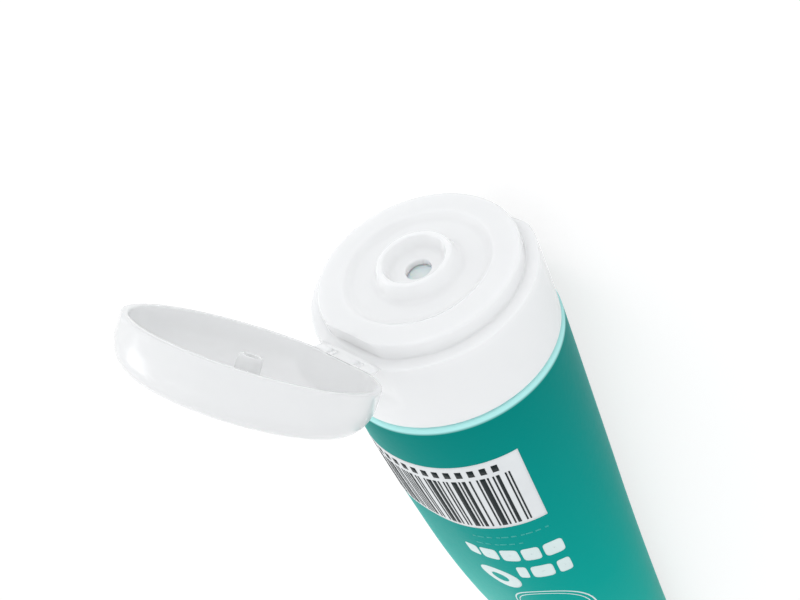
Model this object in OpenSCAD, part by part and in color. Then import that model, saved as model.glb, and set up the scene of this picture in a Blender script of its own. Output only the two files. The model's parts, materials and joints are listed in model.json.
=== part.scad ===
// Squeeze tube with a flip-top dispensing cap, lying down with the lid open. Every piece
// is drawn about the tube's own axis: z runs out of the orifice, x points to the hinge,
// and z = 0 is the shoulder edge. lay() then sets the filled tube down on its belly and
// its end seal, with the hinge uppermost. Sizes are in millimetres.

/* [Tube] */
// Diameter of the tube at its round end
tube_d = 40; // [32:0.5:50]
// Length from the shoulder edge to the end seal
tube_len = 150; // [90:1:180]
// Wall of the soft sleeve
sleeve_wall = 0.5; // [0.35:0.05:0.8]
// Length of the flat end seal
seal_len = 7.5; // [5:0.5:12]
// Length of the sleeve that the head keeps round
round_len = 3; // [2.5:0.5:6]
// How full the tube is: 1 flattens evenly, more keeps it round for longer
fullness = 1.5; // [1:0.05:2.2]
// Distance from the shoulder edge at which the belly comes down to the floor
belly_z = 42; // [20:1:60]
// Height of the slight hollow under the tube between its belly and its seal
belly_hollow = 0.25; // [0.1:0.05:0.5]
// Radius at which the sleeve is rolled over the shoulder
shoulder_r = 0.9; // [0.7:0.1:1.5]
// Width of the rolled lip on top of the shoulder
lip_w = 0.8; // [0.4:0.1:1.2]

/* [Head] */
// Outer diameter of the neck
neck_d = 18; // [12:0.5:22]
// Wall of the shoulder and the neck
head_wall = 1.2; // [0.8:0.1:1.6]
// Height to which the shoulder slopes up at the neck
slope_h = 2.4; // [1:0.1:4]
// Height of the snap bead above the shoulder edge
bead_z = 6; // [5:0.25:8]
// How far the snap bead stands out from the neck
bead_out = 0.45; // [0.2:0.05:0.7]

/* [Cap] */
// Height of the ledge that the lid closes on, above the shoulder edge
ledge_z = 14.5; // [12:0.1:18]
// Height of the gap between the skirt and the shoulder
skirt_gap = 0.45; // [0.2:0.05:1]
// How far the foot of the skirt stands inside the tube's edge
skirt_inset = 0.3; // [0.1:0.05:1]
// Draft of the skirt, from its foot to its top
skirt_draft = 0.25; // [0:0.05:0.6]
// Wall of the skirt and the deck
cap_wall = 1.2; // [0.8:0.1:1.5]
// Radius of the raised deck
deck_r = 17.2; // [14:0.05:17.4]
// Height of the raised deck above the ledge
deck_h = 3; // [1.5:0.1:4]
// Radius of the dished basin in the deck
basin_r = 12.7; // [10.5:0.1:14]
// Depth of the basin below the deck
basin_depth = 1; // [0.4:0.1:1.4]
// Radius of the lip round the orifice
crater_r = 5.8; // [5:0.05:7]
// Height of that lip above the deck
crater_h = 1.7; // [0.5:0.1:2.5]
// Thickness of that lip
crater_lip = 0.9; // [0.6:0.1:1.2]
// Depth of the well floor below the deck
well_depth = 0.9; // [0.4:0.1:1.2]
// Diameter of the orifice
orifice_d = 4.4; // [3:0.1:6]
// Distance of the thumb flat from the axis
thumb_x = 17.35; // [16.8:0.05:18.5]
// Height at which the thumb flat starts to run out into the skirt
thumb_z = 7; // [5:0.25:9]

/* [Lid] */
// Distance of the hinge flats from the axis
hinge_flat_x = 17.9; // [17.5:0.05:18.5]
// Radius of the lid at its rim
lid_r = 19.3; // [18.5:0.05:19.5]
// Height of the lid
lid_h = 7.8; // [6.5:0.1:10]
// Radius of the flat top of the lid
lid_top_r = 15.1; // [12:0.1:17]
// Height of the straight side of the lid
lid_side_h = 2.6; // [1:0.1:4]
// Wall of the lid
lid_wall = 1.1; // [0.8:0.1:1.4]
// Gap between the closed lid and the ledge
lid_gap = 0.15; // [0.1:0.05:0.4]
// Clearance between the plug and the orifice, on the radius
plug_clear = 0.3; // [0.25:0.05:0.5]
// How far the plug reaches into the orifice
plug_in = 0.7; // [0.3:0.1:1]
// Wall of the hollow plug
plug_wall = 0.8; // [0.5:0.1:1]
// Angle at which the lid stands open
open_angle = 127; // [60:1:175]

/* [Hinge] */
// Half the length of the hinge film
film_half = 1.2; // [0.8:0.05:2]
// Thickness of the hinge film
film_t = 0.4; // [0.3:0.05:0.6]
// Width of the hinge film
film_w = 13; // [9:0.5:15]
// Width of each slot in the film
slot_w = 1.2; // [0.8:0.1:2]
// Distance between the two slots
slot_pitch = 6; // [4:0.25:7]

/* [Fits] */
// Clearance between pieces that are welded or snapped together
seat_gap = 0.05; // [0.03:0.01:0.1]
// Clearance round the contents
fill_gap = 0.15; // [0.1:0.05:0.4]
// Distance from the end seal at which the contents end
fill_end = 12; // [4:0.5:20]
// Clearance between the deck and the wall of the lid at the hinge
deck_clear = 0.5; // [0.3:0.05:1]

/* [Hidden] */
$fn = 72;

tube_r = tube_d/2;
seal_t = 2*sleeve_wall;
body_len = tube_len - round_len;
belly_share = (belly_z - round_len)/body_len;
ring_points = 56;
front_rings = 4;
back_rings = 7;
lip_r = tube_r - shoulder_r - lip_w;
neck_r = neck_d/2;
bead_len = 0.5;

foot_r = tube_r - skirt_inset;
rim_r = foot_r - skirt_draft;
rim_round = 0.25;
deck_z = ledge_z + deck_h;
deck_round = 0.5;
basin_z = deck_z - basin_depth;
basin_slope = 0.8;
crater_z = deck_z + crater_h;
crater_foot = 0.9;
well_z = deck_z - well_depth;
well_slope = 0.4;
orifice_r = orifice_d/2;
roof_z = min(basin_z, well_z) - cap_wall + 0.05;
collar_in = neck_r + seat_gap;
collar_wall = 1.2;
collar_z = slope_h + 1;
setback_x = hinge_flat_x - lid_wall - deck_clear;
setback_wall = 0.9;
run_out = 3;

lid_z = ledge_z + lid_gap;
lid_top_z = lid_z + lid_h;
plug_r = orifice_r - plug_clear;
plug_tip_z = well_z - plug_in;
plug_round = 0.3;

hinge_x = hinge_flat_x + film_half;
hinge_z = ledge_z + lid_gap/2;
film_turn = 180 - open_angle;
film_off = (lid_gap + film_t)/2;
film_bend_r = (film_half + film_off*tan(film_turn/2))/tan(film_turn/2);

// Half thickness and sideways half width of the sleeve's section at a share of its length.
// The section has the same girth all the way, so it gets wider as it gets flatter.
function half_t(share) = tube_r - (tube_r - seal_t/2)*pow(share, fullness);
function half_w(share) = PI*(tube_r - half_t(share))/2;
// Slope of the belly where it meets the floor, and how far the middle of the section
// hangs from the tube's axis behind that point, where the underside runs on to the seal
belly_slope = (tube_r - seal_t/2)*fullness*pow(belly_share, fullness - 1)/body_len;
function hang(share) = let (past = max(0, share - belly_share), part = past/(1 - belly_share))
    past == 0 ? 0 : half_t(share) - half_t(belly_share) + belly_slope*body_len*past
        + 4*belly_hollow*part*(1 - part);

tilt = atan(belly_slope);
function lay_x(x, z) = z*cos(tilt) - x*sin(tilt);
function lay_z(x, z) = z*sin(tilt) + x*cos(tilt);
back_x = lay_x(hang(1), -tube_len) - seal_len;
reach = hinge_x + lid_r;
front_x = lay_x(hinge_x + reach*cos(film_turn) - film_off*sin(film_turn),
                hinge_z + reach*sin(film_turn) + film_off*cos(film_turn));
floor_z = lay_z(-half_t(belly_share), -belly_z);

// Points of an arc about a centre, from one angle to another
function arc(cx, cz, r, from, to, n = 5) =
    [for (i = [0:n]) let (a = from + (to - from)*i/n) [cx + r*cos(a), cz + r*sin(a)]];

// One ring of the sleeve: a stadium of the given half thickness, drawn out sideways
function ring(mid, r, w, z) = [for (i = [0:ring_points - 1]) let (a = 360*(i + 0.5)/ring_points)
    [mid + r*cos(a), r*sin(a) + sign(sin(a))*w, z]];

// Faces that skin a stack of rings, from the shoulder to the seal
function skin_faces(n, m = ring_points) = concat([[for (i = [0:m - 1]) m - 1 - i]],
    [for (k = [0:n - 2], i = [0:m - 1]) let (j = (i + 1) % m) [k*m + i, k*m + j, (k + 1)*m + j]],
    [for (k = [0:n - 2], i = [0:m - 1]) let (j = (i + 1) % m)
        [k*m + i, (k + 1)*m + j, (k + 1)*m + i]],
    [[for (i = [0:m - 1]) (n - 1)*m + i]]);

// Sets the tube down on the floor, hinge uppermost, centred on the origin
module lay() {
    translate([-(back_x + front_x)/2, 0, -floor_z])
        rotate([0, 90 - tilt, 0]) rotate([0, 0, 180]) children();
}

// Turns the lid about the hinge line, from closed to its angle
module swing(angle) {
    translate([hinge_x, 0, hinge_z]) rotate([0, angle, 0])
        translate([-hinge_x, 0, -hinge_z]) children();
}

// Rings of the sleeve's form shrunk by an inset, with one at the belly point
function sleeve_rings(inset, from, to) = [for (share = concat(
        [for (i = [0:front_rings - 1]) from + (belly_share - from)*i/front_rings],
        [for (i = [0:back_rings]) belly_share + (to - belly_share)*i/back_rings]))
    ring(hang(share), half_t(share) - inset, half_w(share), -round_len - body_len*share)];

// The sleeve's form shrunk by an inset: rolled over at the shoulder, flat at the seal
module sleeve_form(inset, to) {
    edge = shoulder_r - inset;
    roll = [for (p = arc(tube_r - shoulder_r, -shoulder_r, edge, 90, 0, 3)) ring(0, p[0], 0, p[1])];
    rings = concat(roll, sleeve_rings(inset, 0, to));
    polyhedron(points = [for (r = rings) each r], faces = skin_faces(len(rings)), convexity = 4);
}

// The flat band where the sleeve's end is welded shut, lying on the floor
module end_seal() {
    width = 2*(half_w(1) + seal_t/2);
    translate([hang(1), 0, -tube_len]) rotate([0, -tilt, 0])
        translate([-seal_t/2, -width/2, -seal_len]) cube([seal_t, width, seal_len + seal_t/2]);
}

module tube_sleeve() {
    color([0.0, 0.58, 0.53]) lay() difference() {
        union() {
            sleeve_form(0, 1);
            end_seal();
        }
        sleeve_form(sleeve_wall, 1 - seal_t/body_len);
        translate([0, 0, -shoulder_r - 1]) cylinder(r = lip_r, h = shoulder_r + 2);
    }
}

// Moulded shoulder and neck, with the snap bead that holds the cap
module tube_head() {
    out_r = tube_r - sleeve_wall - seat_gap;
    top_z = -sleeve_wall - seat_gap;
    edge = shoulder_r - sleeve_wall - seat_gap;
    land_r = lip_r - seat_gap;
    color([0.93, 0.95, 0.94]) lay() rotate_extrude() polygon(concat(
        [[out_r, -round_len]],
        arc(out_r - edge, top_z - edge, edge, 0, 90, 3),
        [[land_r, top_z], [land_r, 0], [land_r - 0.5, 0],
         [neck_r + 0.6, slope_h], [neck_r, slope_h + 0.6],
         [neck_r, bead_z - bead_len - bead_out], [neck_r + bead_out, bead_z - bead_len],
         [neck_r + bead_out, bead_z], [neck_r, bead_z + bead_out],
         [neck_r, roof_z - 0.3], [neck_r - 0.3, roof_z],
         [neck_r - head_wall, roof_z], [neck_r - head_wall, slope_h - head_wall],
         [land_r - 0.5, -head_wall - 0.4], [out_r - head_wall, -head_wall - 0.8],
         [out_r - head_wall, -round_len]]));
}

// What the tube holds, clear of the sleeve and of the head
module gel_fill() {
    inset = sleeve_wall + fill_gap;
    rings = sleeve_rings(inset, fill_gap/body_len, 1 - fill_end/body_len);
    color([0.86, 0.95, 0.95]) lay()
        polyhedron(points = [for (r = rings) each r], faces = skin_faces(len(rings)), convexity = 4);
}

// A flat cut on one side, straight down to a height and then run out to the skirt
module side_cut(flat_x, flat_z, half_w) {
    rotate([90, 0, 0]) translate([0, 0, -half_w]) linear_extrude(2*half_w)
        polygon([[flat_x, deck_z + 9], [flat_x, flat_z], [flat_x + run_out, flat_z - 2*run_out],
                 [flat_x + 9, flat_z - 2*run_out], [flat_x + 9, deck_z + 9]]);
}

// The cap's two flats: one under the hinge, and the thumb flat on the front
module cap_flats(inset) {
    side_cut(hinge_flat_x - inset, thumb_z - inset/2, tube_r);
    rotate([0, 0, 180]) side_cut(thumb_x - inset, thumb_z - inset/2, tube_r);
}

// The deck stands back at the hinge to leave room for the wall of the lid
module deck_setback(x, z) {
    translate([x, -tube_r, z]) cube([tube_r, 2*tube_r, deck_h + cap_wall + 1]);
}

// Skirt, ledge, deck, basin and the raised lip round the orifice, as a filled turning
module cap_outside() {
    lip = crater_lip/2;
    rotate_extrude() polygon(concat(
        [[0, skirt_gap], [foot_r, skirt_gap]],
        arc(rim_r - rim_round, ledge_z - rim_round, rim_round, 0, 90, 3),
        [[deck_r, ledge_z]],
        arc(deck_r - deck_round, deck_z - deck_round, deck_round, 0, 90, 4),
        [[basin_r + 0.3, deck_z]],
        arc(basin_r, deck_z - 0.3, 0.3, 60, 150, 3),
        [[basin_r - basin_slope, basin_z + 0.15], [basin_r - 2*basin_slope, basin_z],
         [crater_r + lip + 2*crater_foot, basin_z],
         [crater_r + lip + crater_foot, basin_z + 0.2],
         [crater_r + lip + 0.2, crater_z - lip - 0.9]],
        arc(crater_r, crater_z - lip, lip, 0, 180, 6),
        [[crater_r - lip - 0.9, well_z + 0.5], [crater_r - lip - 1.5, well_z + 0.2],
         [orifice_r, well_z], [0, well_z]]));
}

// The hollow under the skirt and the deck
module cap_inside() {
    rotate_extrude() polygon([
        [0, skirt_gap - 1], [foot_r - cap_wall, skirt_gap - 1],
        [foot_r - cap_wall, skirt_gap], [rim_r - cap_wall, ledge_z - cap_wall],
        [deck_r - cap_wall, ledge_z - cap_wall], [deck_r - cap_wall, deck_z - cap_wall],
        [basin_r + 0.7, deck_z - cap_wall], [basin_r + 0.1, roof_z], [0, roof_z]]);
}

// The socket that snaps over the neck, grooved for the bead
module neck_socket() {
    low = bead_z - bead_len - bead_out - 2*seat_gap;
    high = bead_z + bead_out + 2*seat_gap;
    deep = collar_in + bead_out + seat_gap;
    out_r = collar_in + collar_wall;
    rotate_extrude() polygon([
        [collar_in, roof_z], [collar_in, high], [deep, high - bead_out - seat_gap],
        [deep, low + bead_out + seat_gap], [collar_in, low],
        [collar_in, collar_z + 0.6], [collar_in + 0.5, collar_z], [out_r, collar_z],
        [out_r, roof_z + 0.3], [collar_in, roof_z + 0.3]]);
}

module cap_body() {
    color([0.95, 0.96, 0.96]) lay() difference() {
        union() {
            difference() {
                cap_outside();
                cap_flats(0);
                deck_setback(setback_x, ledge_z);
                difference() {
                    cap_inside();
                    cap_flats(cap_wall);
                    deck_setback(setback_x - setback_wall, ledge_z - cap_wall);
                }
            }
            neck_socket();
        }
        translate([0, 0, roof_z - 1]) cylinder(r = orifice_r, h = crater_z - roof_z + 2);
    }
}

// The thin web that joins the lid to the cap, bent as the lid stands
module hinge_film() {
    slot_bend = film_turn*0.6;
    color([0.93, 0.95, 0.95]) lay()
        translate([hinge_flat_x, 0, hinge_z - film_off + film_bend_r])
        rotate([90, 0, 0]) rotate([0, 0, -90]) difference() {
            translate([0, 0, -film_w/2]) rotate_extrude(angle = film_turn)
                translate([film_bend_r - film_t/2, 0]) square([film_t, film_w]);
            for (side = [-1, 1])
                translate([0, 0, side*slot_pitch/2 - slot_w/2]) rotate([0, 0, film_turn*0.2])
                    rotate_extrude(angle = slot_bend)
                    translate([film_bend_r - film_t, 0]) square([2*film_t, slot_w]);
        }
}

// Form of the lid as a filled turning: straight side, rounded edge and flat top
module lid_form(wall, rim_z) {
    side_z = lid_z + lid_side_h;
    top_z = lid_top_z - wall;
    top_r = lid_top_r - wall/2;
    out_r = lid_r - wall;
    rotate_extrude() polygon(concat(
        [[0, rim_z], [out_r, rim_z]],
        [for (a = [0:10:90]) [top_r + (out_r - top_r)*cos(a), side_z + (top_z - side_z)*sin(a)]],
        [[0, top_z]]));
}

// The hollow plug that closes the orifice
module lid_plug() {
    root_z = lid_top_z - lid_wall/2;
    rotate_extrude() polygon([
        [plug_r - plug_wall, root_z], [plug_r - plug_wall, plug_tip_z],
        [plug_r - plug_round, plug_tip_z], [plug_r, plug_tip_z + 2*plug_round], [plug_r, root_z]]);
}

module cap_lid() {
    color([0.95, 0.96, 0.97]) lay() swing(open_angle) union() {
        difference() {
            lid_form(0, lid_z);
            side_cut(hinge_flat_x, 0, tube_r);
            difference() {
                lid_form(lid_wall, lid_z - 1);
                side_cut(hinge_flat_x - lid_wall, 0, tube_r);
            }
        }
        lid_plug();
    }
}

tube_sleeve();
tube_head();
gel_fill();
cap_body();
hinge_film();
cap_lid();
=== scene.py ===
"""A squeeze tube with a flip-top cap, lying on its belly with the lid open."""
import json
import math
import bmesh
import bpy
import numpy as np
from mathutils import Matrix, Vector


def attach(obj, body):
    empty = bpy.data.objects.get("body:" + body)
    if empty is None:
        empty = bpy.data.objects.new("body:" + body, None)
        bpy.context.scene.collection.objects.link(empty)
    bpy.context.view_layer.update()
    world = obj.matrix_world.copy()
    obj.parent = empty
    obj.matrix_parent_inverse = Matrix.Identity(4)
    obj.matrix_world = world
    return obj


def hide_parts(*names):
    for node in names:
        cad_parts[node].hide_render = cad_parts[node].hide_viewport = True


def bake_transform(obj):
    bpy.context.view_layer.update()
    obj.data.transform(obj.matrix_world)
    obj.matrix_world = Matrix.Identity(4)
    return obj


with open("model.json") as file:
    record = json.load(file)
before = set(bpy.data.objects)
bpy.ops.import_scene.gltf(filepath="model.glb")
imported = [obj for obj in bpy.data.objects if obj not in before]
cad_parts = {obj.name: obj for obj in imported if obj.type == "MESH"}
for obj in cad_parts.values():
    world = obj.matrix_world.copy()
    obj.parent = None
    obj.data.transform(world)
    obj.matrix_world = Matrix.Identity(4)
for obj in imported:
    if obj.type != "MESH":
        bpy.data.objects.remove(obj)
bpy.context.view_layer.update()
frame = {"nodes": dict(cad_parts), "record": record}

# Camera: a close view down on the open cap, rolled over as the picture is. It stands off
# the tube's side, a little in front of the cap and above it.
cam_aim = Vector((0.0694, 0.0024, 0.0269))
cam_azimuth, cam_elevation, cam_roll = map(math.radians, (-46.26, 26.34, -132.16))
cam_distance = 0.1852
back = Vector((math.cos(cam_elevation)*math.cos(cam_azimuth),
               math.cos(cam_elevation)*math.sin(cam_azimuth), math.sin(cam_elevation)))
level = (-back).cross(Vector((0, 0, 1))).normalized()
upright = level.cross(-back)
cam_right = level*math.cos(cam_roll) + upright*math.sin(cam_roll)
cam_up = upright*math.cos(cam_roll) - level*math.sin(cam_roll)
cam_data = bpy.data.cameras.new("camera")
cam_data.lens, cam_data.sensor_width = 51.04, 36.0
cam_data.clip_start, cam_data.clip_end = 0.005, 50.0
camera = bpy.data.objects.new("camera", cam_data)
bpy.context.scene.collection.objects.link(camera)
camera.matrix_world = Matrix.Translation(cam_aim + back*cam_distance) @ Matrix(
    (cam_right, cam_up, back)).transposed().to_4x4()
bpy.context.scene.camera = camera

# Floor, sky and lamps of a plain white studio. Floor and sky are white where they are seen
# straight or in a reflection, and the floor keeps a pale shadow of the tube.
bpy.context.scene.view_settings.view_transform = "Standard"


def seen(nodes, links):
    """Light Path: 1 for camera, glossy and transmission rays, 0 for the others."""
    path = nodes.new("ShaderNodeLightPath")
    most = path.outputs["Is Camera Ray"]
    for ray in ("Is Glossy Ray", "Is Transmission Ray"):
        step = nodes.new("ShaderNodeMath")
        step.operation = "MAXIMUM"
        links.new(most, step.inputs[0])
        links.new(path.outputs[ray], step.inputs[1])
        most = step.outputs[0]
    return most


world = bpy.data.worlds.new("studio")
bpy.context.scene.world = world
world.use_nodes = True
nodes, links = world.node_tree.nodes, world.node_tree.links
nodes.clear()
fill, white = nodes.new("ShaderNodeBackground"), nodes.new("ShaderNodeBackground")
fill.inputs["Color"].default_value = (0.97, 0.985, 1.0, 1)
fill.inputs["Strength"].default_value = 0.98
white.inputs["Color"].default_value = (1, 1, 1, 1)
white.inputs["Strength"].default_value = 1.0
mix, out = nodes.new("ShaderNodeMixShader"), nodes.new("ShaderNodeOutputWorld")
links.new(seen(nodes, links), mix.inputs[0])
links.new(fill.outputs[0], mix.inputs[1])
links.new(white.outputs[0], mix.inputs[2])
links.new(mix.outputs[0], out.inputs["Surface"])

floor_mat = bpy.data.materials.new("studio floor")
floor_mat.use_nodes = True
nodes, links = floor_mat.node_tree.nodes, floor_mat.node_tree.links
nodes.clear()
matt, glow = nodes.new("ShaderNodeBsdfDiffuse"), nodes.new("ShaderNodeEmission")
matt.inputs["Color"].default_value = (0.95, 0.95, 0.95, 1)
glow.inputs["Color"].default_value = (1, 1, 1, 1)
glow.inputs["Strength"].default_value = 1.08
share, mix = nodes.new("ShaderNodeMath"), nodes.new("ShaderNodeMixShader")
share.operation = "MULTIPLY"
share.inputs[1].default_value = 0.72
out = nodes.new("ShaderNodeOutputMaterial")
links.new(seen(nodes, links), share.inputs[0])
links.new(share.outputs[0], mix.inputs[0])
links.new(matt.outputs[0], mix.inputs[1])
links.new(glow.outputs[0], mix.inputs[2])
links.new(mix.outputs[0], out.inputs["Surface"])
floor_mesh = bpy.data.meshes.new("floor")
reach = 8.0
floor_mesh.from_pydata([(-reach, -reach, 0), (reach, -reach, 0), (reach, reach, 0),
                        (-reach, reach, 0)], [], [(0, 1, 2, 3)])
floor = bpy.data.objects.new("floor", floor_mesh)
floor.data.materials.append(floor_mat)
bpy.context.scene.collection.objects.link(floor)


def softbox(name, toward, distance, width, height, watts):
    """Area lamp in a direction from the cap, facing it."""
    lamp = bpy.data.lights.new(name, "AREA")
    lamp.shape, lamp.size, lamp.size_y, lamp.energy = "RECTANGLE", width, height, watts
    box = bpy.data.objects.new(name, lamp)
    toward = Vector(toward).normalized()
    box.matrix_world = (Matrix.Translation(cam_aim + toward*distance)
                        @ toward.to_track_quat("Z", "Y").to_matrix().to_4x4())
    bpy.context.scene.collection.objects.link(box)


softbox("key softbox", (0.02, 0.75, 0.66), 0.60, 0.30, 0.22, 0.45)
softbox("front softbox", (0.92, 0.05, 0.38), 0.70, 0.40, 0.26, 0.25)

# Sleeve: an extruded polyethylene tube, welded to its head at the round end and crimped
# flat at the other. A fine pale line along the rounded fold at the shoulder is a painted
# highlight. The teal deepens towards the cap, partly the print's gradient and partly painted
# shade of the cap and its lid, and fades to mint at the seal.
tube_r, tube_len, sleeve_wall, seal_len = 20.0, 150.0, 0.5, 7.5
round_len, fullness, belly_z, belly_hollow = 3.0, 1.5, 42.0, 0.25
shoulder_r, lip_w = 0.9, 0.8
orifice = next(m for m in frame["record"]["mounts"] if m["name"] == "orifice")
orifice_z = 15.975
axis = np.array(orifice["axis"]) / np.linalg.norm(orifice["axis"])
to_hinge = np.array([-axis[2], 0.0, axis[0]])
to_side = np.cross(axis, to_hinge)
shoulder = np.array(orifice["pos_m"]) - axis*orifice_z*0.001
body_len = tube_len - round_len
belly = (belly_z - round_len)/body_len
belly_slope = (tube_r - sleeve_wall)*fullness*belly**(fullness - 1)/body_len


def place(points):
    """Metres from millimetres about the tube: x to the hinge, y to the side, z out of the cap."""
    points = np.asarray(points, float)*0.001
    return (shoulder + points[..., :1]*to_hinge + points[..., 1:2]*to_side
            + points[..., 2:3]*axis)


def skin(name, grid, wrap=False, pole=False, cap=False):
    """Mesh of a grid of rings. Each ring joins round on itself and to the next one.

    wrap joins the last ring to the first, pole merges rings that shrink to a point or a
    line, and cap fills the first and the last ring with one face each.
    """
    rows, cols = grid.shape[:2]
    row = np.arange(rows if wrap else rows - 1)[:, None]*cols
    after = (row + cols) % (rows*cols)
    col = np.arange(cols)[None, :]
    beside = (col + 1) % cols
    faces = np.stack([row + col, row + beside, after + beside, after + col], -1).reshape(-1, 4)
    faces = faces.tolist()
    if cap:
        faces += [list(range(cols)), list(range((rows - 1)*cols, rows*cols))]
    mesh = bpy.data.meshes.new(name)
    mesh.from_pydata(place(grid).reshape(-1, 3).tolist(), [], faces)
    work = bmesh.new()
    work.from_mesh(mesh)
    if pole:
        bmesh.ops.remove_doubles(work, verts=work.verts, dist=1e-6)
    bmesh.ops.recalc_face_normals(work, faces=work.faces)
    work.to_mesh(mesh)
    work.free()
    mesh.polygons.foreach_set("use_smooth", np.ones(len(mesh.polygons), bool))
    piece = bpy.data.objects.new(name, mesh)
    bpy.context.scene.collection.objects.link(piece)
    return piece


def section(z, angle, inset=0.0):
    """Point of the sleeve's section at a height and an angle from the hinge side.

    Half thickness falls from the radius to the wall with a power of the share of the length.
    The section is a circle drawn out sideways by the girth that its flattening sets free,
    with the sign of the sine smoothed. Past the belly point its middle hangs along the floor.
    """
    share = np.clip((-round_len - z)/body_len, 0, 1)
    half_t = tube_r - (tube_r - sleeve_wall)*share**fullness
    half_w = math.pi*(tube_r - half_t)/2
    belly_t = tube_r - (tube_r - sleeve_wall)*belly**fullness
    past = (-round_len - z)/body_len - belly
    part = np.clip(past/(1 - belly), 0, 1)
    hang = np.where(past > 0, half_t - belly_t + belly_slope*body_len*past
                    + 4*belly_hollow*part*(1 - part), 0)
    soft = 0.2
    out = np.sin(angle)*math.sqrt(1 + soft**2)/np.sqrt(np.sin(angle)**2 + soft**2)
    x = hang + (half_t - inset)*np.cos(angle)
    y = half_w*out + (half_t - inset)*np.sin(angle)
    return np.stack([x, y, z + 0*x], -1)


around = np.linspace(0, 2*math.pi, 256, endpoint=False)[None, :]
crimp = np.linspace(-tube_len - seal_len, -tube_len, 64)[:, None]
ribs = section(crimp, around)
rib_lift, rib_pitch, rib_run_in, rib_sink = 0.06, 0.9, 0.8, 0.03
lift = (rib_lift*np.cos(2*math.pi*(crimp + tube_len)/rib_pitch)
        * np.clip((-tube_len - crimp)/rib_run_in, 0, 1))
ribs[..., 0] += np.cos(around)*lift - rib_sink*np.cos(around)
stations = -round_len - body_len*np.linspace(1, 0, 120)[1:, None]
outer = section(stations, around)
fold = np.radians(np.linspace(0, 90, 9))[:, None]
roll_r = tube_r - shoulder_r + shoulder_r*np.cos(fold)
roll = np.stack([roll_r*np.cos(around), roll_r*np.sin(around),
                 -shoulder_r + shoulder_r*np.sin(fold) + 0*around], -1)
lip_r = tube_r - shoulder_r - lip_w
lip = np.array([[lip_r + 0.1, 0.0], [lip_r, -0.1], [lip_r, -sleeve_wall]])
under = shoulder_r - sleeve_wall
turn = np.radians(np.linspace(90, 0, 5))
lip = np.vstack([lip, np.stack([tube_r - shoulder_r + under*np.cos(turn),
                                -shoulder_r + under*np.sin(turn)], -1)])
lip = np.stack([lip[:, :1]*np.cos(around), lip[:, :1]*np.sin(around),
                lip[:, 1:] + 0*around], -1)
seal_depth = 1.2
depths = (body_len - seal_depth)*np.linspace(0, 1, 40)[:, None]
inside = section(-round_len - depths, around, sleeve_wall)
sleeve = skin("sleeve", np.concatenate([ribs, outer, roll, lip, inside]), cap=True)


def finish(name, roughness, rough_spread, grain, bump, **sockets):
    """Principled material whose roughness and surface vary with a fine noise.

    grain is the size of the noise in waves per metre and bump its height in metres. Other
    sockets are set by name, with _ for a space.
    """
    mat = bpy.data.materials.new(name)
    mat.use_nodes = True
    nodes, links = mat.node_tree.nodes, mat.node_tree.links
    shader = nodes["Principled BSDF"]
    for key, value in sockets.items():
        shader.inputs[key.replace("_", " ")].default_value = value
    where = nodes.new("ShaderNodeTexCoord")
    noise, spread, relief = (nodes.new("ShaderNodeTexNoise"), nodes.new("ShaderNodeMapRange"),
                             nodes.new("ShaderNodeBump"))
    noise.inputs["Scale"].default_value = grain
    noise.inputs["Detail"].default_value = 4
    spread.inputs["To Min"].default_value = roughness - rough_spread
    spread.inputs["To Max"].default_value = roughness + rough_spread
    relief.inputs["Distance"].default_value = bump
    links.new(where.outputs["Object"], noise.inputs["Vector"])
    links.new(noise.outputs[0], spread.inputs["Value"])
    links.new(spread.outputs[0], shader.inputs["Roughness"])
    links.new(noise.outputs[0], relief.inputs["Height"])
    links.new(relief.outputs[0], shader.inputs["Normal"])
    return mat


def tint(mat, low, high, scale):
    """Base colour that drifts between two close colours with a broad noise."""
    nodes, links = mat.node_tree.nodes, mat.node_tree.links
    where = next(n for n in nodes if n.bl_idname == "ShaderNodeTexCoord")
    noise, ramp = nodes.new("ShaderNodeTexNoise"), nodes.new("ShaderNodeValToRGB")
    noise.inputs["Scale"].default_value = scale
    ramp.color_ramp.elements[0].position, ramp.color_ramp.elements[1].position = 0.3, 0.7
    ramp.color_ramp.elements[0].color = (*low, 1)
    ramp.color_ramp.elements[1].color = (*high, 1)
    links.new(where.outputs["Object"], noise.inputs["Vector"])
    links.new(noise.outputs[0], ramp.inputs["Fac"])
    links.new(ramp.outputs["Color"], nodes["Principled BSDF"].inputs["Base Color"])
    return mat


sleeve_mat = finish("printed sleeve", 0.42, 0.05, 900, 0.00002, Specular_IOR_Level=0.04,
                    Specular_Tint=(0.10, 0.95, 0.88, 1), Sheen_Weight=0.25,
                    Sheen_Roughness=0.2, Sheen_Tint=(0.08, 1.0, 0.90, 1))
nodes, links = sleeve_mat.node_tree.nodes, sleeve_mat.node_tree.links
along, ramp = nodes.new("ShaderNodeAttribute"), nodes.new("ShaderNodeValToRGB")
along.attribute_name = "along"
# Ramp stops: the first two paint a highlight on the shoulder's rounding. The darkest teal just
# past them deepens towards the cap, partly painted shade of the cap and lid.
print_fade_and_painted_light = ((0.0, (0.50, 0.90, 0.88)), (0.0044, (0.50, 0.90, 0.88)), (0.0050, (0.0, 0.235, 0.210)),
        (0.14, (0.0, 0.285, 0.255)), (0.34, (0.0, 0.350, 0.305)), (0.44, (0.012, 0.39, 0.335)),
        (0.56, (0.06, 0.44, 0.37)), (0.75, (0.24, 0.57, 0.50)), (1.0, (0.50, 0.72, 0.66)))
while len(ramp.color_ramp.elements) < len(print_fade_and_painted_light):
    ramp.color_ramp.elements.new(0.5)
for stop, (place_at, colour) in zip(ramp.color_ramp.elements, print_fade_and_painted_light):
    stop.position, stop.color = place_at, (*colour, 1)
links.new(along.outputs["Fac"], ramp.inputs["Fac"])
links.new(ramp.outputs["Color"], nodes["Principled BSDF"].inputs["Base Color"])
spots = np.empty(len(sleeve.data.vertices)*3)
sleeve.data.vertices.foreach_get("co", spots)
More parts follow.
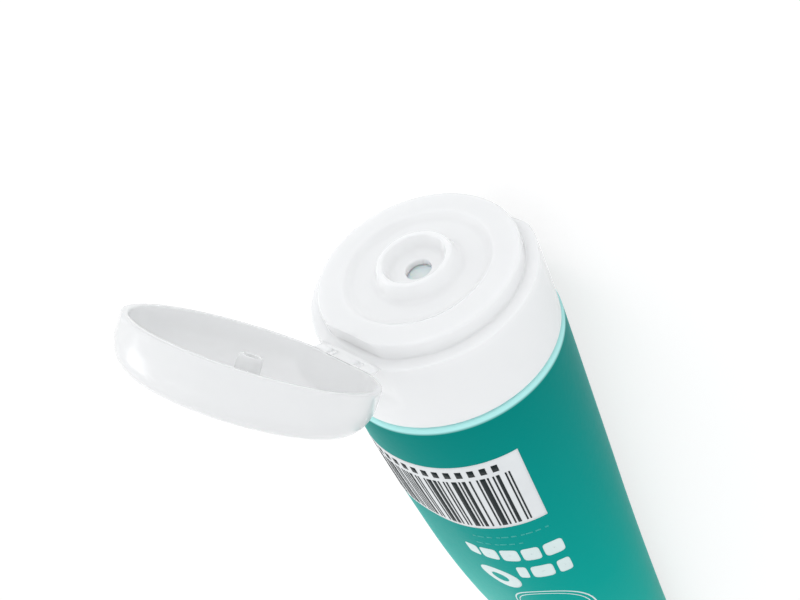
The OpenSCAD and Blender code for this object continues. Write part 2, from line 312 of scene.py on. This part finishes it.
lengthwise = -((spots.reshape(-1, 3) - shoulder) @ axis)*1000/(tube_len + seal_len)
sleeve.data.attributes.new("along", "FLOAT", "POINT").data.foreach_set(
    "value", np.clip(lengthwise, 0, 1))
sleeve.data.materials.append(sleeve_mat)
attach(sleeve, "tube")
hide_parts("tube_sleeve")

# Print on the sleeve: a white panel with plain bars on the back, and the plain marks below
# it, laid down in ink on the curved wall.
ink_t = 0.02


def wall_point(u, z, lift):
    """Points of the outer wall at girth distances from the hinge line, lifted off the wall.

    The section's arc length is added up over fine angles and turned back into an angle.
    """
    u, z = np.broadcast_arrays(u, z)
    angles = np.linspace(-math.pi, math.pi, 721)
    turned = np.empty(u.size)
    for i, (girth_at, height) in enumerate(zip(u.ravel(), z.ravel())):
        ring = section(np.full(angles.size, height), angles, -lift)
        girth = np.concatenate([[0], np.cumsum(np.linalg.norm(np.diff(ring, axis=0), axis=1))])
        girth = (girth/girth[-1] - 0.5)*2*math.pi*tube_r
        turned[i] = np.interp(girth_at, girth, angles)
    return section(z, turned.reshape(u.shape), -lift)


def ink_patch(u0, u1, z0, z1, lift):
    """Closed slip of ink between two girth distances and two heights.

    Its rings run along the outside face and back along the underside.
    """
    cell_u, cell_z = 0.6, 0.8
    u = np.linspace(u0, u1, max(2, int(abs(u1 - u0)/cell_u) + 1))[None, :]
    z = np.linspace(z0, z1, max(2, int(abs(z1 - z0)/cell_z) + 1))[:, None]
    top, low = wall_point(u, z, lift + ink_t), wall_point(u, z, lift)
    return np.concatenate([top, low[:, ::-1]], axis=1)


def ink_spot(u, z, half_u, half_z, power, hole=0.02):
    """Closed slip of ink with a superellipse for its outline, and a hole in the middle.

    The outline is the cosine and the sine of the angle, each raised to 2 over the power.
    """
    turn = np.linspace(0, 2*math.pi, 40, endpoint=False)[None, :]
    out = np.linspace(hole, 1, 7 if hole < 0.5 else 3)[:, None]
    du = half_u*out*np.sign(np.cos(turn))*np.abs(np.cos(turn))**(2/power)
    dz = half_z*out*np.sign(np.sin(turn))*np.abs(np.sin(turn))**(2/power)
    top, low = wall_point(u + du, z + dz, ink_t), wall_point(u + du, z + dz, 0.0)
    return np.concatenate([top, low[::-1]])


def ink(name, patches, colour, loop=False):
    """One piece from several slips of ink, with an ink finish. loop joins a slip's ends."""
    slips = [skin(f"{name} slip {i}", patch, wrap=loop, cap=not loop)
             for i, patch in enumerate(patches)]
    work = bmesh.new()
    for slip in slips:
        work.from_mesh(slip.data)
        bpy.data.objects.remove(slip)
    mesh = bpy.data.meshes.new(name)
    work.to_mesh(mesh)
    work.free()
    piece = bpy.data.objects.new(name, mesh)
    bpy.context.scene.collection.objects.link(piece)
    mat = tint(finish(name + " ink", 0.40, 0.05, 1400, 0.00001, Specular_IOR_Level=0.15), colour,
               tuple(c*0.96 for c in colour), 300)
    piece.data.materials.append(mat)
    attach(piece, "tube")
    return piece


panel = (-14.3, 22.8, -29.1, -10.3)
ink("white_panel", [ink_patch(*panel, 0.0)], (0.80, 0.82, 0.83))
bar_widths = (1, 1, 2, 1, 1, 3, 1, 1, 2, 1, 3, 1, 1, 1, 2, 3, 1, 1, 1, 2, 1, 1, 1, 1,
              1, 3, 1, 2, 1, 1, 1, 2, 2, 1, 3, 1, 1)
bar_gaps = (1, 3, 1, 2, 1, 1, 3, 2, 1, 1, 2, 1, 2, 1, 1, 1, 3, 1, 2, 1, 1, 1, 2, 1,
            2, 1, 1, 3, 1, 2, 1, 1, 1, 2, 1, 1)
ends = np.cumsum(np.ravel(list(zip(bar_widths, bar_gaps + (0,)))))
bar_to = ends[0::2].astype(float)
bar_from = bar_to - np.array(bar_widths)
module, first_u, last_u, on_panel = 0.312, 20.1, -13.4, ink_t + 0.01
bars_z, blocks_z, block_w, block_pitch = (-28.3, -14.4), (-13.4, -11.7), 1.1, 2.1
bars = [ink_patch(first_u - a*module, first_u - b*module, *bars_z, on_panel)
        for a, b in zip(bar_from, bar_to) if first_u - b*module > last_u]
blocks = [ink_patch(u, u - block_w, *blocks_z, on_panel)
          for u in np.arange(18.6, -13, -block_pitch)]
ink("panel_bars", bars + blocks, (0.010, 0.018, 0.020))
dash_h, dash_pitch = 0.2, 1.5
dashes = [ink_patch(u, u - 0.7 - 0.3*(i % 3), z + dash_h, z - dash_h, 0.0)
          for z, first, last in ((-32.2, 22, 7), (-34.6, 16.5, 8))
          for i, u in enumerate(np.arange(first, last, -dash_pitch))]
ink("faint_dashes", dashes, (0.03, 0.42, 0.37))
row_half, squareness = 1.9, 5
spots = [ink_spot(u, z, half_u, row_half, squareness) for z, row in (
    (-38.6, ((21.2, 1.9), (16.9, 1.7), (12.9, 1.7), (8.9, 1.7), (5.4, 1.3))),
    (-44.6, ((21.6, 1.3), (17.4, 2.1), (13.6, 1.0)))) for u, half_u in row]
spots += [ink_spot(7.6, -48.6, 4.4, 3.6, 2, 0.42)]
spots += [ink_spot(15.6, -60.0, 8.4, 8.4, 2, 0.965), ink_spot(15.6, -60.0, 7.5, 7.5, 2, 0.975)]
ink("plain_marks", spots, (0.72, 0.84, 0.83), loop=True)

# Head: the moulded shoulder and neck that the sleeve is welded to. It shows only as a thin
# line between the cap and the shoulder.
head_mat = tint(finish("head polyethylene", 0.42, 0.06, 700, 0.00002, Subsurface_Weight=0.3,
                       Subsurface_Scale=0.002), (0.90, 0.91, 0.90), (0.93, 0.94, 0.93), 120)

solid = frame["nodes"]["tube_head"]
for slot in solid.material_slots:
    slot.material = head_mat

# Contents: a clear water-based gel that fills the sleeve and stands in the neck up to the
# cap, where it shows through the orifice.
fill_gap, fill_end, gel_top, neck_fill_r = 0.15, 12.0, 15.2, 7.65
gel_inset = sleeve_wall + fill_gap
share = np.linspace(1 - fill_end/body_len, 0.002, 60)[:, None]
gel_body = section(-round_len - body_len*share, around, gel_inset)
neck = np.array([[18.0, -3.0], [18.0, -2.2], [17.5, -1.8], [12.0, -0.3], [neck_fill_r, 0.9],
                 [neck_fill_r, gel_top - 0.3], [neck_fill_r - 0.3, gel_top], [4.0, gel_top],
                 [0.3, gel_top]])
gel_neck = np.stack([neck[:, :1]*np.cos(around), neck[:, :1]*np.sin(around),
                     neck[:, 1:] + 0*around], -1)
gel = skin("gel", np.concatenate([gel_body, gel_neck]), cap=True)
gel_mat = tint(finish("clear gel", 0.08, 0.03, 60, 0.0001, Transmission_Weight=0.15, IOR=1.37,
                      Subsurface_Weight=0.5, Subsurface_Scale=0.004),
               (0.93, 0.95, 0.95), (0.96, 0.97, 0.97), 60)
gel.data.materials.append(gel_mat)
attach(gel, "tube")
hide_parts("gel_fill")

# Cap: one moulding in natural polypropylene with its lid and hinge, with a dished basin in
# its deck and a raised lip round the orifice. A socket inside snaps over the neck, and the
# skirt has a flat under the hinge and one for the thumb.
ledge_z, deck_h, skirt_gap, cap_wall = 14.5, 3.0, 0.45, 1.2
foot_r, rim_r, deck_r = 19.7, 19.45, 17.2
basin_r, basin_depth = 12.7, 1.0
crater_r, crater_h, well_depth, orifice_r = 5.8, 1.7, 0.9, 2.2
socket_r, socket_out_r, socket_end_z, groove_r, groove_z = 9.05, 10.25, 3.4, 9.55, 5.75
hinge_flat_x, thumb_x, thumb_z, setback_x, setback_wall = 17.9, 17.35, 7.0, 16.3, 0.9
deck_z = ledge_z + deck_h
basin_z, crater_z, well_z = deck_z - basin_depth, deck_z + crater_h, deck_z - well_depth
roof_z = basin_z - cap_wall + 0.05


def rounded(corners, step):
    """Outline through corners (r, z, rounding), each turned on a parabola tangent to its sides.

    The rounding is the length of side that the turn takes up, and straight stretches are
    cut into steps.
    """
    corners = np.array(corners, float)
    points = []
    for before, here, after in zip(np.roll(corners, 1, 0), corners, np.roll(corners, -1, 0)):
        a, b = before[:2] - here[:2], after[:2] - here[:2]
        la, lb = np.linalg.norm(a), np.linalg.norm(b)
        start = here[:2] + a/la*min(here[2], 0.48*la)
        end = here[:2] + b/lb*min(here[2], 0.48*lb)
        s = np.linspace(0, 1, 8)[:, None]
        points.append((1 - s)**2*start + 2*s*(1 - s)*here[:2] + s**2*end)
    filled = []
    for turn, following in zip(points, points[1:] + points[:1]):
        gap = following[0] - turn[-1]
        n = int(np.linalg.norm(gap)/step)
        filled += [turn] + ([turn[-1] + gap*np.linspace(0, 1, n + 2)[1:-1, None]] if n else [])
    return np.concatenate(filled)


def lesser(a, b, blend):
    """The smaller of two values, with the corner between them rounded over a blend width."""
    h = np.clip(0.5 + 0.5*(b - a)/blend, 0, 1)
    return b + (a - b)*h - blend*h*(1 - h)


def revolve(outline, angles, limits, blend=0.35):
    """Outline turned about the axis, with its radius kept inside a flat on either side.

    limits gives each point's distance to the hinge-side flat and to the front one.
    """
    r, z = outline[:, :1], outline[:, 1:]
    for side, flat in ((1, limits[0]), (-1, limits[1])):
        facing = np.maximum(side*np.cos(angles), 0.05)
        r = lesser(r, flat[:, None]/facing, blend)
    return np.stack([r*np.cos(angles), r*np.sin(angles), z + 0*r], -1)


cap_outline = rounded([
    (foot_r, skirt_gap, 0.15), (rim_r, ledge_z, 0.35), (deck_r, ledge_z, 0.3),
    (deck_r, deck_z, 0.6), (basin_r + 0.1, deck_z, 0.45), (basin_r - 1.1, basin_z, 0.8),
    (crater_r + 1.5, basin_z, 1.0), (crater_r + 0.5, crater_z, 0.4),
    (crater_r - 0.4, crater_z, 0.35), (crater_r - 1.1, well_z + 0.15, 0.9),
    (orifice_r, well_z, 0.3), (orifice_r, roof_z, 0.15), (socket_r, roof_z, 0.1),
    (socket_r, groove_z + 0.8, 0.1), (groove_r, groove_z + 0.3, 0.1),
    (groove_r, groove_z - 0.3, 0.1), (socket_r, groove_z - 0.8, 0.1), (socket_r, 4.0, 0.1),
    (groove_r, socket_end_z, 0.1), (socket_out_r, socket_end_z, 0.2),
    (socket_out_r, roof_z, 0.3), (basin_r + 0.1, roof_z, 0.3),
    (basin_r + 0.7, deck_z - cap_wall, 0.3), (deck_r - cap_wall, deck_z - cap_wall, 0.4),
    (deck_r - cap_wall, ledge_z - cap_wall, 0.3), (rim_r - cap_wall, ledge_z - cap_wall, 0.5),
    (foot_r - cap_wall, skirt_gap, 0.1)], 1.3)
r, z = cap_outline.T
inner = np.zeros(len(r), bool)
inner[np.argmin(np.hypot(r - orifice_r, z - roof_z)):] = True
run_out = np.maximum(0, thumb_z - z)/2
hinge_limit = hinge_flat_x + run_out - cap_wall*inner
thumb_limit = thumb_x + run_out - cap_wall*inner
hinge_limit = np.where(z > np.where(inner, ledge_z - cap_wall, ledge_z) + 0.15,
                       setback_x - setback_wall*inner, hinge_limit)
turns = np.linspace(0, 2*math.pi, 360, endpoint=False)[None, :]
cap = skin("cap_body_shell", revolve(cap_outline, turns, (hinge_limit, thumb_limit)), wrap=True)
cap_mat = tint(finish("cap polypropylene", 0.15, 0.03, 500, 0.00001, Subsurface_Weight=0.4,
                      Subsurface_Scale=0.002, IOR=1.49, Subsurface_Radius=(1.0, 1.0, 1.0),
                      Transmission_Weight=0.04),
               (0.955, 0.957, 0.96), (0.972, 0.974, 0.975), 90)
cap.data.materials.append(cap_mat)
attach(cap, "tube")
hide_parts("cap_body")

# Lid: a shallow dome with a hollow plug in the middle that closes the orifice. It is
# moulded flat in line with the cap and swings on the film.
lid_gap, lid_h, lid_side_h, lid_wall, lid_r, lid_top_r = 0.15, 7.8, 2.6, 1.1, 19.3, 15.1
plug_r, plug_bore, plug_tip_z, rim_ease, no_flat = 1.9, 1.1, 15.9, 0.25, 60.0
film_half, open_angle = 1.2, math.radians(127)
hinge_x, hinge_z = hinge_flat_x + film_half, ledge_z + lid_gap/2
lid_z = ledge_z + lid_gap
lid_top_z, side_z = lid_z + lid_h, lid_z + lid_side_h


def swing(points, angle):
    """Turns points about the hinge line, from the closed lid by an angle."""
    dx, dz = points[..., 0] - hinge_x, points[..., 2] - hinge_z
    return np.stack([hinge_x + dx*np.cos(angle) + dz*np.sin(angle), points[..., 1],
                     hinge_z - dx*np.sin(angle) + dz*np.cos(angle)], -1)


edge = np.radians(np.linspace(90, 0, 28))
dome = np.stack([lid_top_r + (lid_r - lid_top_r)*np.cos(edge),
                 side_z + (lid_top_z - side_z)*np.sin(edge)], -1)
hollow_r, hollow_z = lid_r - lid_wall, lid_top_z - lid_wall
hollow_top = lid_top_r - lid_wall/2
hollow = np.stack([hollow_top + (hollow_r - hollow_top)*np.cos(edge),
                   side_z + (hollow_z - side_z)*np.sin(edge)], -1)[::-1]
flat_top = np.stack([np.linspace(0, lid_top_r, 16)[:-1], np.full(15, lid_top_z)], -1)
sides = np.linspace(side_z, lid_z + rim_ease, 5)[1:]
rim = np.array([[lid_r, z] for z in sides]
               + [[lid_r - 0.07, lid_z + 0.07], [lid_r - rim_ease, lid_z],
                  [hollow_r + rim_ease, lid_z], [hollow_r + 0.07, lid_z + 0.07]]
               + [[hollow_r, z] for z in sides[::-1]])
ceiling = np.stack([np.linspace(hollow_top, plug_r + 0.5, 16)[1:], np.full(15, hollow_z)], -1)
plug = np.array([[plug_r + 0.15, hollow_z - 0.12], [plug_r, hollow_z - 0.5]]
                + [[plug_r, z] for z in np.linspace(hollow_z - 1, plug_tip_z + 0.6, 6)]
                + [[plug_r - 0.1, plug_tip_z + 0.25], [plug_r - 0.3, plug_tip_z],
                   [plug_bore + 0.1, plug_tip_z], [plug_bore, plug_tip_z + 0.15]]
                + [[plug_bore, z] for z in np.linspace(plug_tip_z + 1, hollow_z, 5)]
                + [[0.55, hollow_z], [0.0, hollow_z]])
lid_outline = np.concatenate([flat_top, dome, rim, hollow, ceiling, plug])
inner = np.arange(len(lid_outline)) >= len(flat_top) + len(dome) + len(sides) + 3
lid_limit = hinge_flat_x - lid_wall*inner
lid_grid = revolve(lid_outline, turns, (lid_limit, np.full(len(lid_outline), no_flat)))
lid = skin("lid_shell", swing(lid_grid, open_angle), pole=True)
# The lid's base colour is a shade lighter than the cap's, though both are one moulding: painted
# light for the brighter look of the lit lid.
lid_mat = tint(finish("lid polypropylene painted lighter", 0.20, 0.03, 420, 0.00001, Subsurface_Weight=0.3,
                      Subsurface_Scale=0.0015, IOR=1.49, Transmission_Weight=0.2,
                      Subsurface_Radius=(1.0, 1.0, 1.0)),
               (0.975, 0.977, 0.98), (0.987, 0.989, 0.99), 90)
lid.data.materials.append(lid_mat)
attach(lid, "lid")
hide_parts("cap_lid")

# Hinge film: the thin web that joins the lid to the cap, with two slots that make three
# straps of it. It is bent up as the lid stands.
film_t, film_w, slot_w, slot_pitch, film_root = 0.4, 13.0, 1.2, 6.0, 0.06
film_turn = math.pi - open_angle
film_off = (lid_gap + film_t)/2
bend_r = (film_half + film_off*math.tan(film_turn/2))/math.tan(film_turn/2)
bend_z = hinge_z - film_off + bend_r


def film_point(y, angle, lift):
    """Point of the bent web: an arc that starts level at the cap's flat and turns upwards."""
    r = bend_r - lift
    return np.stack([hinge_flat_x + r*np.sin(angle), y + 0*angle, bend_z - r*np.cos(angle)], -1)


def strap(y0, y1, angle0, angle1):
    """Closed strip of the web between two widths and two angles of bend, edges eased."""
    y = np.linspace(y0, y1, 8)[None, :]
    angle = np.linspace(angle0, angle1, 14)[:, None]
    ease = film_t/2*(1 - 0.25*(2*np.abs(y - (y0 + y1)/2)/(y1 - y0))**8)
    top, low = film_point(y, angle, ease), film_point(y, angle, -ease)
    return np.concatenate([top, low[:, ::-1]], axis=1)


film_ends = (-film_root, film_turn + film_root)
slot_ends = (film_turn*0.2, film_turn*0.8)
half, mid, slot = film_w/2, slot_pitch/2, slot_w/2
spans = [(-half, half, film_ends[0], slot_ends[0]), (-half, half, slot_ends[1], film_ends[1]),
         (-half, -mid - slot, *slot_ends), (-mid + slot, mid - slot, *slot_ends),
         (mid + slot, half, *slot_ends)]
work = bmesh.new()
for i, span in enumerate(spans):
    part = skin(f"strap {i}", strap(*span), cap=True)
    work.from_mesh(part.data)
    bpy.data.objects.remove(part)
film_mesh = bpy.data.meshes.new("hinge_web")
work.to_mesh(film_mesh)
work.free()
film = bpy.data.objects.new("hinge_web", film_mesh)
bpy.context.scene.collection.objects.link(film)
film_mat = tint(finish("film polypropylene", 0.32, 0.04, 420, 0.000002, IOR=1.45),
                (0.955, 0.957, 0.96), (0.972, 0.974, 0.975), 90)
film.data.materials.append(film_mat)
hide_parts("hinge_film")
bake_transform(film)
